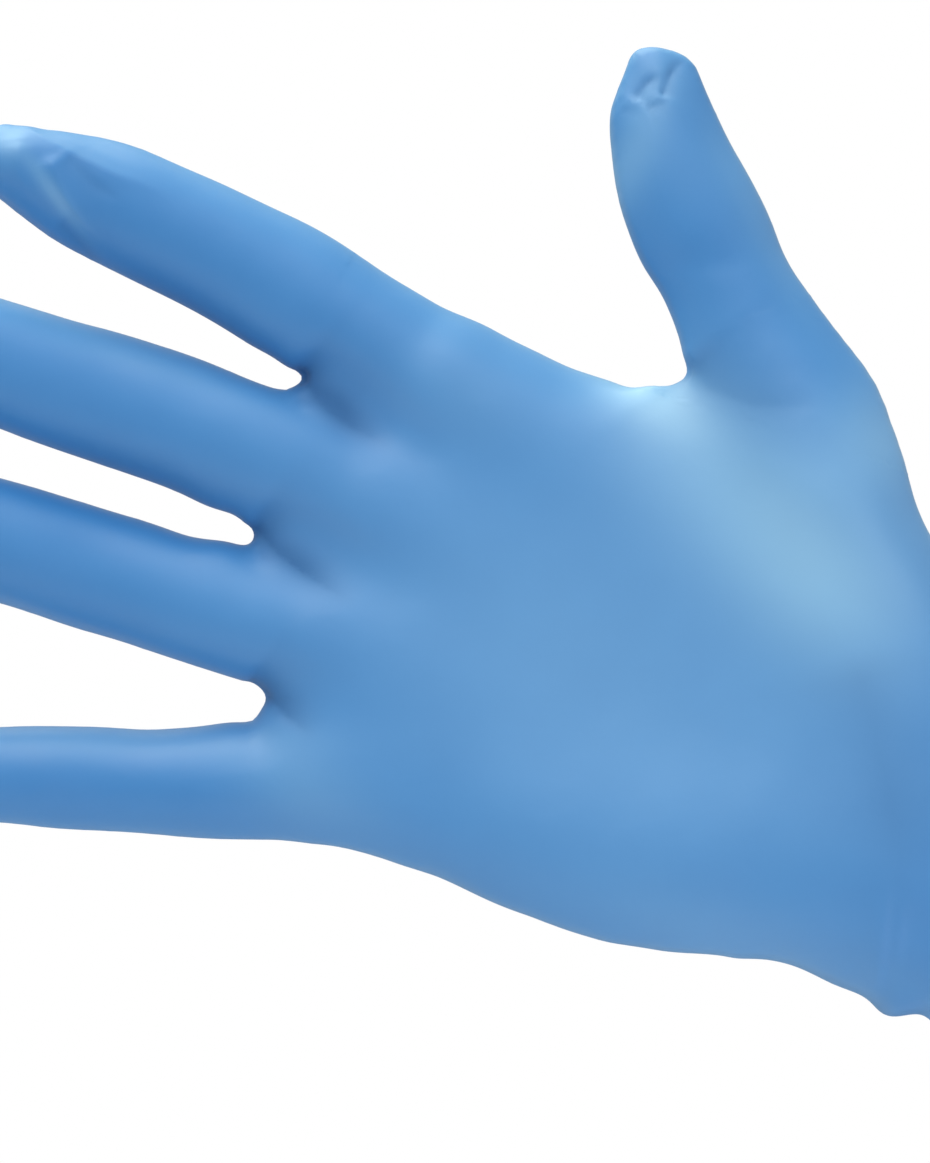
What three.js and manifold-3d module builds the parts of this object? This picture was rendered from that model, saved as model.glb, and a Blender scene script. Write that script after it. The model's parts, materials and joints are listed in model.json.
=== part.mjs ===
// A single-use nitrile examination glove for a right hand, in the shape it has when worn with the fingers
// spread. Millimetres. The cuff's opening is at the origin and its axis is X: the hand goes in towards -X.
// Z is up, towards the thumb, and the palm faces -Y.
//
// The whole glove is one film: an outer form less an inner one. It is divided where it bends, so each
// finger stall is three tubes with a wedge-shaped ring of folding film at each joint between them.
import * as THREE from "three";
import { LoftGeometry } from "three/addons/geometries/LoftGeometry.js";
import { mergeVertices } from "three/addons/utils/BufferGeometryUtils.js";
import Module from "manifold-3d";

const wasm = await Module();
wasm.setup();

// Driving dimensions
const FILM = 1.0; // wall of the film
const GAP = 0.3; // clearance between neighbouring pieces
const FOLD = 2.4; // width of a stall's folding ring at its hinge line
const WRIST_X = -48; // hinge of the cuff on the hand
const BEAD_LENGTH = 3; // the rolled rim at the opening
const BEAD_SWELL = 0.9; // how far the roll stands proud of the film, inside and out
const HINGE_SHARE = 0.45; // a stall's hinge lies this share of its half thickness towards the palm
const STALL_SIDES = 16;
const HAND_SIDES = 32;

const UP = new THREE.Vector3(0, 0, 1);
const BACK_OF_HAND = new THREE.Vector3(0, 1, 0);
const PALM = new THREE.Vector3(0, -1, 0);
const radians = THREE.MathUtils.degToRad;

// Cuff, wrist and palm: sections across X, each with its middle and its half sizes in Y and Z
const HAND_SECTIONS = [
  { x: 0, y: 0, z: 0, thick: 26.5, wide: 34.5 },
  { x: -16, y: 0, z: 0, thick: 25, wide: 32.8 },
  { x: -34, y: 0, z: -0.4, thick: 22.5, wide: 31 },
  { x: -50, y: -0.5, z: -0.5, thick: 20, wide: 30 },
  { x: -65, y: -1, z: 1.2, thick: 18, wide: 33.5 },
  { x: -82, y: -1.5, z: 0.8, thick: 16.5, wide: 38.8 },
  { x: -100, y: -1, z: -0.3, thick: 14.5, wide: 41.2 },
  { x: -120, y: 0, z: -0.7, thick: 13.2, wide: 42 },
  { x: -138, y: 0, z: -1.2, thick: 12.4, wide: 42.8 },
  { x: -150, y: -0.5, z: 0.5, thick: 11, wide: 40.8 },
  { x: -160, y: -1, z: 5.5, thick: 9, wide: 35.5 },
  { x: -166, y: -1, z: 8.5, thick: 6, wide: 30.5 },
];
const HAND_SQUARENESS = 2.5; // exponent of the sections' superellipse

// Film that spans between neighbouring stalls: middles and half sizes of ellipsoids
const WEBS = [
  { at: [-158, -1, 20.3], half: [13, 9.5, 9] },
  { at: [-155, -1, -4.7], half: [12.5, 9.5, 9] },
  { at: [-145, -1, -28], half: [11, 9.5, 10] },
  { at: [-108, -2.5, 38], half: [17, 9, 11] },
];

// Finger stalls. root is the hinge's x and z, heading the angle of the stall above -X, reach the lengths
// from root to middle joint to tip joint to tip, and half the half widths behind the root and at each
// joint. bend is how far each joint can fold towards the palm, and curl how far it is folded at rest.
const THICKNESS = 0.9; // of a stall, as a share of its width
const STALL_CURL = [3, 6, 5];
const STALLS = [
  { name: "index", root: [-173, 33.4], heading: 0.5, reach: [18, 20.5, 20.5], half: [8.2, 10.8, 10.2, 8.9], bend: [70, 85] },
  { name: "middle", root: [-172, 8.1], heading: -6, reach: [23, 24, 23], half: [9, 11, 10.5, 9.6], bend: [70, 85] },
  { name: "ring", root: [-168.5, -17.2], heading: -8, reach: [21, 22.5, 21.5], half: [9, 10.3, 9.8, 9.2], bend: [70, 85] },
  { name: "little", root: [-157, -42.3], heading: -23, reach: [15.5, 16, 18], half: [8, 9.1, 8.3, 7.5], bend: [65, 75] },
];
const BACK_BEND = 10; // how far a stall's joints can fold towards the back of the hand
const TIP_BEND_SHARE = 0.55; // the tip joint folds this share of the middle joint's fold
const STALL_BASE = 26; // a stall's form starts this far behind its root, inside the palm
const TIP_DOME = 1.25; // length of the rounded tip, as a share of its half width

// Thumb stall: middles and half sizes (across, thick) of its sections, from the ball of the thumb out
const THUMB_SECTIONS = [
  { at: [-66, -2, 12], half: [15, 15] },
  { at: [-80, -4, 30], half: [18.6, 16.5] },
  { at: [-93, -5, 46], half: [15.6, 14.5] },
  { at: [-104, -4.5, 56.5], half: [12.3, 12] },
  { at: [-112, -4, 62.6], half: [11.6, 10.8] },
  { at: [-119.5, -4, 69], half: [11.2, 10.2] },
  { at: [-127, -4.5, 76.5], half: [10.9, 9.8] },
  { at: [-132.5, -5.5, 84], half: [9.6, 8.8] },
];
const THUMB_TIP_DOME = 10.5;
const THUMB_ROOT = { at: [-99, -9, 50], along: [-0.12, 0, 0.993], palmTurn: 0, bend: 50, backBend: 15, fold: 3, half: 45 };
const THUMB_TIP = { at: [-119, -7.6, 65.5], along: [-0.72, 0, 0.69], palmTurn: -35, bend: 65, backBend: 10, fold: FOLD, half: 15 };
const WRIST_BEND = 50; // each way
const WRIST_FOLD = 3;

// Solids from three.js geometry
function solid(geometry) {
  const bare = new THREE.BufferGeometry().copy(geometry);
  bare.deleteAttribute("normal");
  bare.deleteAttribute("uv");
  const merged = mergeVertices(bare, 1e-4);
  return new wasm.Manifold(
    new wasm.Mesh({
      numProp: 3,
      vertProperties: merged.attributes.position.array,
      triVerts: new Uint32Array(merged.index.array),
    }),
  );
}

function join(solids) {
  return solids.reduce((whole, next) => whole.add(next));
}

// A section's points, counted from across towards thick. power 2 is an ellipse.
function ring(middle, across, thick, halfAcross, halfThick, sides, power = 2) {
  const bulge = (c) => Math.sign(c) * Math.abs(c) ** (2 / power);
  return Array.from({ length: sides }, (_, i) => {
    const turn = (2 * Math.PI * i) / sides;
    return middle
      .clone()
      .addScaledVector(across, halfAcross * bulge(Math.cos(turn)))
      .addScaledVector(thick, halfThick * bulge(Math.sin(turn)));
  });
}

function loft(sections) {
  return solid(new LoftGeometry(sections, { capStart: true, capEnd: true }));
}

// Cuff, wrist and palm as one form, or the space inside it when inset is the film's wall
function handForm(inset) {
  const overrun = inset > 0 ? 1 : 0; // the inside runs out of the opening, so that it cuts it open
  const sections = HAND_SECTIONS.map(({ x, y, z, thick, wide }, i) => {
    const last = i === HAND_SECTIONS.length - 1;
    const middle = new THREE.Vector3(x + (i === 0 ? overrun : 0) + (last ? inset : 0), y, z);
    return ring(middle, UP, BACK_OF_HAND, wide - inset, thick - inset, HAND_SIDES, HAND_SQUARENESS);
  });
  return loft(sections);
}

function webForm({ at, half }, inset) {
  const ball = new THREE.SphereGeometry(1, STALL_SIDES, 10);
  ball.scale(...half.map((r) => r - inset));
  ball.translate(...at);
  return solid(ball);
}

// A tube through elliptical sections with a rounded end. Sections between the given ones follow a spline.
function stallForm({ middles, halves, dome }, inset) {
  const stepsPerSection = 2;
  const path = new THREE.CatmullRomCurve3(middles);
  const sizes = new THREE.CatmullRomCurve3(halves.map(([across, thick]) => new THREE.Vector3(across, thick, 0)));
  const steps = (middles.length - 1) * stepsPerSection;
  const frameAt = (t) => {
    const along = path.getTangent(t);
    const thick = BACK_OF_HAND.clone().addScaledVector(along, -BACK_OF_HAND.dot(along)).normalize();
    return { along, thick, across: new THREE.Vector3().crossVectors(thick, along) };
  };
  const sections = Array.from({ length: steps + 1 }, (_, i) => {
    const { across, thick } = frameAt(i / steps);
    const size = sizes.getPoint(i / steps);
    return ring(path.getPoint(i / steps), across, thick, size.x - inset, size.y - inset, STALL_SIDES);
  });
  const { along, thick, across } = frameAt(1);
  const end = sizes.getPoint(1);
  for (const lean of [30, 52, 70, 83].map(radians)) {
    const middle = path.getPoint(1).addScaledVector(along, (dome - inset) * Math.sin(lean));
    const share = Math.cos(lean);
    sections.push(ring(middle, across, thick, (end.x - inset) * share, (end.y - inset) * share, STALL_SIDES));
  }
  return loft(sections);
}

// A hinge's frame: x along the limb towards its tip, y towards the side it folds to, and z the hinge line,
// about which a positive turn folds the limb
function hingeFrame(at, along, foldSide) {
  const x = along.clone().normalize();
  const z = new THREE.Vector3().crossVectors(x, foldSide).normalize();
  const y = new THREE.Vector3().crossVectors(z, x);
  return new THREE.Matrix4().makeBasis(x, y, z).setPosition(at);
}

// Where a finger stall's joints, sections and tip lie
function layOutStall({ root, heading, reach, half, bend }) {
  const turn = radians(heading);
  const flat = new THREE.Vector3(-Math.cos(turn), 0, Math.sin(turn));
  const lean = (curl) => flat.clone().multiplyScalar(Math.cos(curl)).addScaledVector(BACK_OF_HAND, -Math.sin(curl));
  const joints = [new THREE.Vector3(root[0], -1, root[1])];
  const leans = [];
  reach.forEach((length, i) => {
    leans.push(lean(radians(STALL_CURL.slice(0, i + 1).reduce((sum, c) => sum + c))));
    joints.push(joints[i].clone().addScaledVector(leans[i], length));
  });
  const tip = joints.pop();
  const dome = half[3] * TIP_DOME;
  const base = joints[0].clone().addScaledVector(flat, -STALL_BASE);
  const pad = tip.clone().addScaledVector(leans[2], -dome);
  const sizes = [...half, half[3] * 0.97];
  const bends = [bend[0], bend[1], bend[1] * TIP_BEND_SHARE];
  return {
    form: {
      middles: [base, ...joints, pad],
      halves: sizes.map((across) => [across, across * THICKNESS]),
      dome,
    },
    hinges: joints.map((joint, i) => {
      const before = i === 0 ? flat : leans[i - 1];
      const along = before.clone().add(leans[i]).normalize();
      const palmward = PALM.clone().addScaledVector(along, -PALM.dot(along)).normalize();
      const at = joint.clone().addScaledVector(palmward, half[i + 1] * THICKNESS * HINGE_SHARE);
      const frame = hingeFrame(at, along, PALM);
      return { frame, bend: bends[i], backBend: BACK_BEND, fold: FOLD, half: half[i + 1] + 1.2 };
    }),
  };
}

// A hinge divides its limb with two faces that lean apart by the hinge's travel. A cutter keeps what lies
// between two marks along the limb: FAR_BEHIND, BEFORE and BEYOND the two faces, and FAR_AHEAD.
const FAR_BEHIND = -2;
const BEFORE = -1;
const BEYOND = 1;
const FAR_AHEAD = 2;
function hingeCutter({ frame, bend, backBend, fold, half, reach = 100, height = 40 }, from, to, inset = 0) {
  const edge = (mark) => {
    const side = Math.sign(mark);
    if (Math.abs(mark) === 2) return [[side * reach, -height], [side * reach, height]];
    const face = (y, lean) => [side * (fold / 2 - inset + Math.abs(y) * Math.tan(radians(lean / 2))), y];
    return [face(-height, backBend), face(0, 0), face(height, bend)];
  };
  const outline = [...edge(from), ...edge(to).reverse()];
  const shape = new THREE.Shape(outline.map(([x, y]) => new THREE.Vector2(x, y)));
  const prism = new THREE.ExtrudeGeometry(shape, { depth: 2 * half, bevelEnabled: false });
  prism.translate(0, 0, -half);
  prism.applyMatrix4(frame);
  return solid(prism);
}

// The form of the whole glove, and the space inside it
const stalls = STALLS.map((stall) => ({ ...stall, ...layOutStall(stall) }));
const thumbForm = {
  middles: THUMB_SECTIONS.map(({ at }) => new THREE.Vector3(...at)),
  halves: THUMB_SECTIONS.map(({ half }) => half),
  dome: THUMB_TIP_DOME,
};
function gloveForm(inset) {
  return join([
    handForm(inset),
    ...WEBS.map((web) => webForm(web, inset)),
    ...stalls.map(({ form }) => stallForm(form, inset)),
    stallForm(thumbForm, inset),
  ]);
}
const film = gloveForm(0).subtract(gloveForm(FILM));

// Hinges of the thumb and wrist
function thumbHinge({ at, along, palmTurn, ...rest }) {
  const axis = new THREE.Vector3(...along).normalize();
  const foldSide = PALM.clone().applyAxisAngle(axis, radians(palmTurn));
  return { ...rest, frame: hingeFrame(new THREE.Vector3(...at), axis, foldSide) };
}
const thumbRoot = thumbHinge(THUMB_ROOT);
const thumbTip = thumbHinge(THUMB_TIP);
const wrist = {
  frame: hingeFrame(new THREE.Vector3(WRIST_X, 0, 0), new THREE.Vector3(-1, 0, 0), PALM),
  bend: WRIST_BEND,
  backBend: WRIST_BEND,
  fold: WRIST_FOLD,
  half: 130,
};

// Scene graph: each body is a group that stands at its hinge, with z along the hinge line
const rubber = new THREE.MeshStandardMaterial({ color: 0x5c96cc, roughness: 0.45, metalness: 0 });
const foldedRubber = new THREE.MeshStandardMaterial({ color: 0x4a84be, roughness: 0.5, metalness: 0 });
const beadRubber = new THREE.MeshStandardMaterial({ color: 0x3f78b4, roughness: 0.4, metalness: 0 });

function addBody(parent, name, frame) {
  const group = new THREE.Group();
  group.name = name + "_body";
  const local = parent.matrixWorld.clone().invert().multiply(frame);
  local.decompose(group.position, group.quaternion, group.scale);
  parent.add(group);
  parent.updateMatrixWorld(true);
  return group;
}

function addPiece(body, name, piece, material) {
  const { numProp, vertProperties, triVerts } = piece.getMesh();
  const geometry = new THREE.BufferGeometry();
  geometry.setAttribute("position", new THREE.BufferAttribute(vertProperties, numProp));
  geometry.setIndex(new THREE.BufferAttribute(triVerts, 1));
  geometry.applyMatrix4(body.matrixWorld.clone().invert());
  geometry.computeVertexNormals();
  const mesh = new THREE.Mesh(geometry, material);
  mesh.name = name;
  body.add(mesh);
}

const glove = new THREE.Group();
const handHalf = 200; // larger than the whole hand, for cutters that span it

// Cuff: a sleeve with a rolled bead at its opening
function cuffBlock(low, high) {
  const block = new THREE.BoxGeometry(high - low, handHalf, handHalf);
  block.translate((low + high) / 2, 0, 0);
  return solid(block);
}

function bead() {
  const { thick, wide } = HAND_SECTIONS[0];
  const layer = (swell, film) =>
    loft(
      Array.from({ length: 7 }, (_, i) => {
        const share = i / 6;
        const round = swell * Math.sin(Math.PI * share) - film;
        const middle = new THREE.Vector3(-BEAD_LENGTH * share, 0, 0);
        return ring(middle, UP, BACK_OF_HAND, wide + round, thick + round, HAND_SIDES, HAND_SQUARENESS);
      }),
    );
  return layer(BEAD_SWELL, 0).subtract(layer(-BEAD_SWELL, FILM));
}

addPiece(glove, "cuff_bead", bead(), beadRubber);
const sleeveEnd = -BEAD_LENGTH - GAP;
const sleeve = film.intersect(hingeCutter(wrist, FAR_BEHIND, BEFORE)).intersect(cuffBlock(WRIST_X * 2, sleeveEnd));
addPiece(glove, "cuff_sleeve", sleeve, rubber);
addPiece(glove, "wrist_fold", film.intersect(hingeCutter(wrist, BEFORE, BEYOND, GAP)), foldedRubber);

// Hand: what is beyond the wrist and before every stall
const hand = addBody(glove, "hand", wrist.frame);
const rootHinges = [...stalls.map(({ hinges }) => hinges[0]), thumbRoot];
const beyondRoots = join(rootHinges.map((hinge) => hingeCutter(hinge, BEFORE, FAR_AHEAD)));
const beyondWrist = hingeCutter({ ...wrist, reach: 300 }, BEYOND, FAR_AHEAD);
addPiece(hand, "hand", film.intersect(beyondWrist).subtract(beyondRoots), rubber);

// A stall: folding rings on the body behind each hinge, and tubes between the hinges
function addStall(name, hinges, parts) {
  let parent = hand;
  hinges.forEach((hinge, i) => {
    const next = hinges[i + 1];
    addPiece(parent, `${name}_${parts[i]}_fold`, film.intersect(hingeCutter(hinge, BEFORE, BEYOND, GAP)), foldedRubber);
    const body = addBody(parent, `${name}_${parts[i]}`, hinge.frame);
    const beyond = film.intersect(hingeCutter(hinge, BEYOND, FAR_AHEAD));
    const tube = next ? beyond.subtract(hingeCutter(next, BEFORE, FAR_AHEAD)) : beyond;
    addPiece(body, `${name}_${parts[i]}`, tube, rubber);
    parent = body;
  });
}
for (const { name, hinges } of stalls) addStall(name, hinges, ["base", "middle", "tip"]);
addStall("thumb", [thumbRoot, thumbTip], ["base", "tip"]);

export default glove;
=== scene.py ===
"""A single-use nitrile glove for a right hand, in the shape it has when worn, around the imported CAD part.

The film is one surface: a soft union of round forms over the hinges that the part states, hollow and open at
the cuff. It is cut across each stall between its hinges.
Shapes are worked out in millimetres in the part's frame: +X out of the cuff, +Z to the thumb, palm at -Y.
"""
import json
import math

import bpy
import numpy as np
from mathutils import Matrix, Vector


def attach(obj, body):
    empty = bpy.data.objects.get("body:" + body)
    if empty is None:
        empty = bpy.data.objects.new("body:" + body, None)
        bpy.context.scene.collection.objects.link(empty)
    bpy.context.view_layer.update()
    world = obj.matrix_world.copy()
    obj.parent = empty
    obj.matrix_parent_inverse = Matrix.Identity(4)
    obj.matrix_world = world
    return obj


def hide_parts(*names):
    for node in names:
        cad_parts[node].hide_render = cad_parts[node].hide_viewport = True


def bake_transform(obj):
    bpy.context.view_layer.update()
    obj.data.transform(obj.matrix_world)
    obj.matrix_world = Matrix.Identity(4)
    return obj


MM = 0.001

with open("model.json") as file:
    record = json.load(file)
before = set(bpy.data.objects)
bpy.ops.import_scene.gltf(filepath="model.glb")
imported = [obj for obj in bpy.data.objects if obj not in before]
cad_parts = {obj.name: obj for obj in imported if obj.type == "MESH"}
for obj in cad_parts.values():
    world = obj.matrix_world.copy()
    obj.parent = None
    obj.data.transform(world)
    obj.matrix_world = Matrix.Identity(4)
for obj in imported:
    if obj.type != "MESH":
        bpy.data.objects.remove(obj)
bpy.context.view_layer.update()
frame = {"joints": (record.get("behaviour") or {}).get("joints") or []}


def unit(v):
    v = np.asarray(v, float)
    return v / np.linalg.norm(v)


hinge = {j["name"].replace("_bend", ""): np.array(j["pos_m"]) / MM for j in frame["joints"]}
hinge_line = {j["name"].replace("_bend", ""): unit(j["axis"]) for j in frame["joints"]}

# ---------------------------------------------------------------- driving sizes, mm
FILM = 0.25  # drawn thickness of the film
GRID = 1.25  # first mesh of the surface; it is divided once more
GRID_LOW = (-252.0, -30.0, -70.0)  # the box that the first mesh is made in
GRID_HIGH = (6.0, 32.0, 102.0)
CUFF_END = -1.2  # where the film meets the rolled bead

# For each finger: how far its tip is beyond its last hinge, where its knuckle is, and the half widths of its
# stall at the knuckle, at the root, middle and tip hinges and at the middle of the round end.
FINGERS = {
    "index": {"tip": 25.0, "half": (11.0, 10.5, 10.7, 10.1, 7.0), "knuckle": (-142, 1.0, 26.6)},
    "middle": {"tip": 27.5, "half": (12.0, 10.6, 10.6, 10.1, 8.6), "knuckle": (-142, 2.5, 8.5)},
    "ring": {"tip": 26.5, "half": (12.0, 10.1, 10.0, 9.6, 8.2), "knuckle": (-138, 2.0, -11.5)},
    "little": {"tip": 21.0, "half": (10.6, 9.3, 8.6, 8.0, 7.0), "knuckle": (-128, 0.5, -29.0)},
}
STALL_FLATNESS = 0.93  # thickness of a stall over its width
THUMB_FLATNESS = 0.95
WEB_FLATNESS = 0.85
HINGE_DEPTH = 4.4  # the part's hinge lines lie this far palmward of a stall's middle
LAST_CURL = 5.0  # degrees that a stall's end leans on from the length before it

# The hand's long forms: (point, radius) from the wrist towards each knuckle
PALM_RAYS = [
    [
        ((-64, -0.5, 15.0), 14.0),
        ((-95, 0.5, 23.5), 13.0),
        ((-125, 0.6, 27.8), 12.6),
        ((-150, 0.4, 30.0), 11.0),
    ],
    [
        ((-62, 0.0, 4.0), 15.0),
        ((-95, 1.6, 8.0), 13.4),
        ((-125, 2.4, 8.6), 13.0),
        ((-152, 1.2, 8.0), 11.4),
    ],
    [
        ((-62, 0.0, -6.0), 15.0),
        ((-95, 1.6, -9.0), 13.2),
        ((-125, 2.0, -11.0), 12.8),
        ((-150, 1.0, -14.5), 11.0),
    ],
    [
        ((-64, -0.5, -14.5), 13.5),
        ((-95, 0.0, -25.0), 13.0),
        ((-122, 0.4, -29.6), 12.2),
        ((-142, 0.0, -34.6), 10.2),
    ],
]
# The outer heel of the palm, and the thumb with its ball, in the same terms
HEEL = [((-66, -4.0, -10.5), 13.4), ((-88, -4.5, -22.6), 13.6), ((-108, -3.2, -27.4), 12.2)]
THUMB = [
    ((-66, -3.0, 12.0), 13.6),
    ((-80, -5.5, 28.0), 14.6),
    ((-93.4, -6.5, 42.8), 14.2),
    ((-105.6, -5.5, 54.1), 12.1),
    ((-114.9, -4.6, 61.2), 10.7),
    ((-121.0, -4.2, 65.6), 10.6),
    ((-127.2, -4.4, 70.0), 10.8),
    ((-133.3, -5.0, 75.9), 10.5),
    ((-139.0, -6.0, 82.8), 8.7),
    ((-141.6, -6.6, 86.4), 7.6),
]
# Film that spans from stall to stall: (from, to, radius) of a round bar behind each gap
WEBS = [
    ((-158, -1.0, 20.6), (-168.4, -1.8, 20.9), 5.6),
    ((-155, -1.0, -4.4), (-163.4, -1.8, -4.0), 6.2),
    ((-142, -1.0, -26.0), (-150.2, -1.8, -27.4), 7.0),
    ((-106, -5.0, 35.0), (-116.4, -4.0, 38.8), 7.8),
]
# Cuff: sections along X, each with its half sizes across (Z) and through (Y), as superellipses
CUFF = [
    (8.0, 35.0, 27.0),
    (0.0, 34.4, 26.4),
    (-14.0, 33.0, 24.9),
    (-30.0, 30.8, 22.4),
    (-44.0, 29.3, 20.4),
    (-56.0, 30.0, 18.6),
    (-68.0, 27.5, 16.6),
]
CUFF_SQUARENESS = 2.4
CUFF_EASE = 7.0  # how far along X a section is eased into its neighbours
CUFF_SAMPLES = 153
CUFF_SLOPE = 1.08  # makes the cuff's field about a distance

PALM_BLEND = 11.0  # how softly each kind of form runs into the others
HEEL_BLEND = 9.0
THUMB_BLEND = 9.0
STALL_BLEND = 4.5
HAND_REACH = 32  # how far from its middle line a form is worked out
STALL_REACH = 24
FAR = 60.0  # the distance given to points beyond that reach
PALM_STEPS = 3  # points of a smooth line for each length between its given points
THUMB_STEPS = 5
STALL_STEPS = 8


# ---------------------------------------------------------------- distance fields
def smooth(t):
    t = np.clip(t, 0, 1)
    return t * t * (3 - 2 * t)


def soft_min(a, b, k):
    h = np.clip(0.5 + 0.5 * (b - a) / k, 0, 1)
    return b + (a - b) * h - k * h * (1 - h)


def chain(p, points, radii, flat):
    """Distance to a run of round cones; flat squeezes it through the hand."""
    best = np.full(len(p), 1e3)
    for (a, b), (ra, rb) in zip(zip(points[:-1], points[1:]), zip(radii[:-1], radii[1:])):
        d = b - a
        t = np.clip(((p - a) @ d) / (d @ d), 0, 1)
        off = p - a - t[:, None] * d
        off[:, 1] /= flat
        dist = np.sqrt((off * off).sum(1)) - (ra + (rb - ra) * t)
        best = np.minimum(best, dist)
    return best


def spline(points, values, steps):
    """Catmull-Rom points and values through the given ones."""
    pts = np.column_stack([np.asarray(points, float), np.asarray(values, float)])
    pts = np.vstack([2 * pts[0] - pts[1], pts, 2 * pts[-1] - pts[-2]])
    out = []
    for i in range(1, len(pts) - 2):
        p0, p1, p2, p3 = pts[i - 1 : i + 3]
        slope = p2 - p0
        bow = 2 * p0 - 5 * p1 + 4 * p2 - p3
        twist = 3 * p1 - p0 - 3 * p2 + p3
        for t in np.arange(steps) / steps:
            out.append(0.5 * (2 * p1 + slope * t + bow * t**2 + twist * t**3))
    out.append(pts[-2])
    out = np.array(out)
    return out[:, :3], out[:, 3]


def smooth_line(spec, steps):
    """A smooth line through (point, radius) pairs."""
    return spline([point for point, _ in spec], [radius for _, radius in spec], steps)


def finger_line(name):
    """Middles and half widths of a stall, from its knuckle to the middle of its round end."""
    spec = FINGERS[name]
    line = hinge_line[name + "_base"]
    joints = [hinge[f"{name}_{part}"] for part in ("base", "middle", "tip")]
    ahead = [unit(b - a) for a, b in zip(joints[:-1], joints[1:])]
    curl = math.radians(LAST_CURL)
    last = ahead[-1] * math.cos(curl) + np.cross(line, ahead[-1]) * math.sin(curl)
    ahead.append(unit(last))
    middles = [np.array(spec["knuckle"], float)]
    for at, along in zip(joints, ahead):
        palmward = unit(np.cross(line, along))
        middles.append(at - palmward * HINGE_DEPTH)
    end_half = spec["half"][-1]
    middles.append(middles[-1] + ahead[-1] * (spec["tip"] - end_half))
    return spline(middles, spec["half"], STALL_STEPS)


finger_lines = {name: finger_line(name) for name in FINGERS}
thumb_line = smooth_line(THUMB, THUMB_STEPS)


def cuff_profile():
    """The cuff's half sizes along X, eased over its sections."""
    sections = np.array(CUFF)[::-1]
    xs = np.linspace(sections[0, 0], sections[-1, 0], CUFF_SAMPLES)
    near_by = np.exp(-(((xs[:, None] - xs) / CUFF_EASE) ** 2))
    near_by /= near_by.sum(1)[:, None]
    straight = [np.interp(xs, sections[:, 0], sections[:, i]) for i in (1, 2)]
    return xs, near_by @ straight[0], near_by @ straight[1]


cuff_xs, cuff_wide, cuff_thick = cuff_profile()


def cuff_field(p):
    wide = np.interp(p[:, 0], cuff_xs, cuff_wide)
    thick = np.interp(p[:, 0], cuff_xs, cuff_thick)
    n = CUFF_SQUARENESS
    round_ = ((np.abs(p[:, 2]) / wide) ** n + (np.abs(p[:, 1]) / thick) ** n) ** (1 / n)
    side = (round_ - 1) * np.minimum(wide, thick) * CUFF_SLOPE
    ends = np.maximum(p[:, 0] - CUFF[0][0], CUFF[-1][0] - p[:, 0])
    return np.maximum(side, ends)


def near(p, points, reach):
    lo, hi = points.min(0) - reach, points.max(0) + reach
    return np.all((p > lo) & (p < hi), axis=1)


# Every form but the cuff: (points, radii, flatness, blend, reach)
forms = [(*smooth_line(ray, PALM_STEPS), 1.0, PALM_BLEND, HAND_REACH) for ray in PALM_RAYS]
forms.append((*smooth_line(HEEL, PALM_STEPS), 1.0, HEEL_BLEND, HAND_REACH))
forms.append((*thumb_line, THUMB_FLATNESS, THUMB_BLEND, HAND_REACH))
forms += [(*line, STALL_FLATNESS, STALL_BLEND, STALL_REACH) for line in finger_lines.values()]
forms += [(np.array([a, b]), (r, r), WEB_FLATNESS, STALL_BLEND, STALL_REACH) for a, b, r in WEBS]


def hand_field(p):
    """Signed distance to the outside of the film, about right near it."""
    out = cuff_field(p)
    for line, radii, flat, blend, reach in forms:
        close = near(p, line, reach)
        distance = np.full(len(p), FAR)
        distance[close] = chain(p[close], line, radii, flat)
        out = soft_min(out, distance, blend)
    return out


# ---------------------------------------------------------------- one surface
LEAST_SLOPE = 0.3  # keeps a point's move onto the surface short where the field is nearly level
LONGEST_MOVE = 1.5
SLIDE = 0.6  # share of the way that a point slides each round


def point_normals(points, faces):
    corners = points[faces]
    across = np.cross(corners[:, 2] - corners[:, 0], corners[:, 3] - corners[:, 1])
    out = np.zeros_like(points)
    for i in range(4):
        for axis in range(3):
            out[:, axis] += np.bincount(faces[:, i], across[:, axis], len(points))
    return out / np.maximum(np.linalg.norm(out, axis=1), 1e-12)[:, None]


def settle(field, points, way, rounds, step=0.05):
    """Moves each point along its own way onto field = 0."""
    for _ in range(rounds):
        value = field(points)
        slope = (field(points + way * step) - field(points - way * step)) / (2 * step)
        slope = np.where(np.abs(slope) < LEAST_SLOPE, LEAST_SLOPE, slope)
        points = points - way * np.clip(value / slope, -LONGEST_MOVE, LONGEST_MOVE)[:, None]
    return points


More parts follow.
